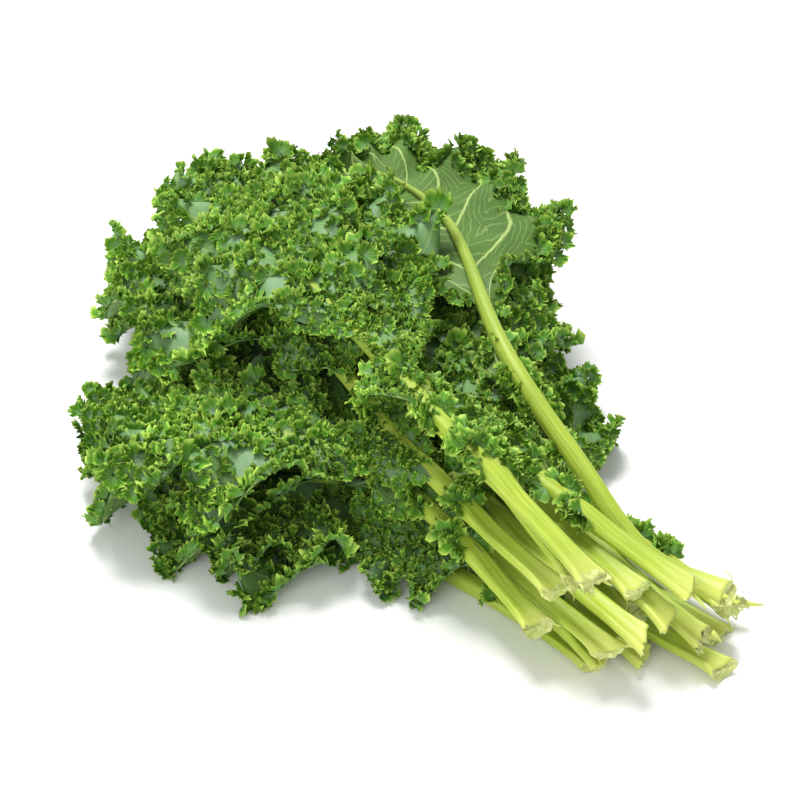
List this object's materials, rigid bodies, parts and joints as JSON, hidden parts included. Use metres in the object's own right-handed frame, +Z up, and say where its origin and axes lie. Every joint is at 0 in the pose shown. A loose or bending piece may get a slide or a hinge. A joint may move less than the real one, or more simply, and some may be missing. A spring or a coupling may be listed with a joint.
{
  "type": "kale bunch",
  "caption": "Bunch of curly kale lying down, with ruffled green blades fanned out at one end and pale stalks gathered to cut ends at the other.",
  "frame": {"origin": "centre of the footprint, on the surface that the bunch lies on", "axes": "+X from the leaf tips to the cut stalk ends, +Z up from the surface, +Y to the side that makes the frame right-handed"},
  "size_m": [0.448, 0.3228, 0.1251],
  "materials": {
    "stalk": "pale yellow-green stalk, moist and slightly glossy, ribbed along its length",
    "blade": "waxy mid-green leaf, matt, with a brighter curled margin"
  },
  "bodies": {
    "root": {"leaf_01_stalk": "stalk", "leaf_01_blade": "blade", "leaf_02_stalk": "stalk", "leaf_02_blade": "blade", "leaf_03_stalk": "stalk", "leaf_03_blade": "blade", "leaf_04_stalk": "stalk", "leaf_04_blade": "blade", "leaf_05_stalk": "stalk", "leaf_05_blade": "blade", "leaf_06_stalk": "stalk", "leaf_06_blade": "blade", "leaf_07_stalk": "stalk", "leaf_07_blade": "blade", "leaf_08_stalk": "stalk", "leaf_08_blade": "blade", "leaf_09_stalk": "stalk", "leaf_09_blade": "blade", "leaf_10_stalk": "stalk", "leaf_10_blade": "blade", "leaf_11_stalk": "stalk", "leaf_11_blade": "blade", "leaf_12_stalk": "stalk", "leaf_12_blade": "blade", "leaf_13_stalk": "stalk", "leaf_13_blade": "blade", "leaf_14_stalk": "stalk", "leaf_14_blade": "blade", "leaf_15_stalk": "stalk", "leaf_15_blade": "blade", "leaf_16_stalk": "stalk", "leaf_16_blade": "blade", "leaf_17_stalk": "stalk", "leaf_17_blade": "blade", "leaf_18_stalk": "stalk", "leaf_18_blade": "blade"}
  },
  "joints": []
}
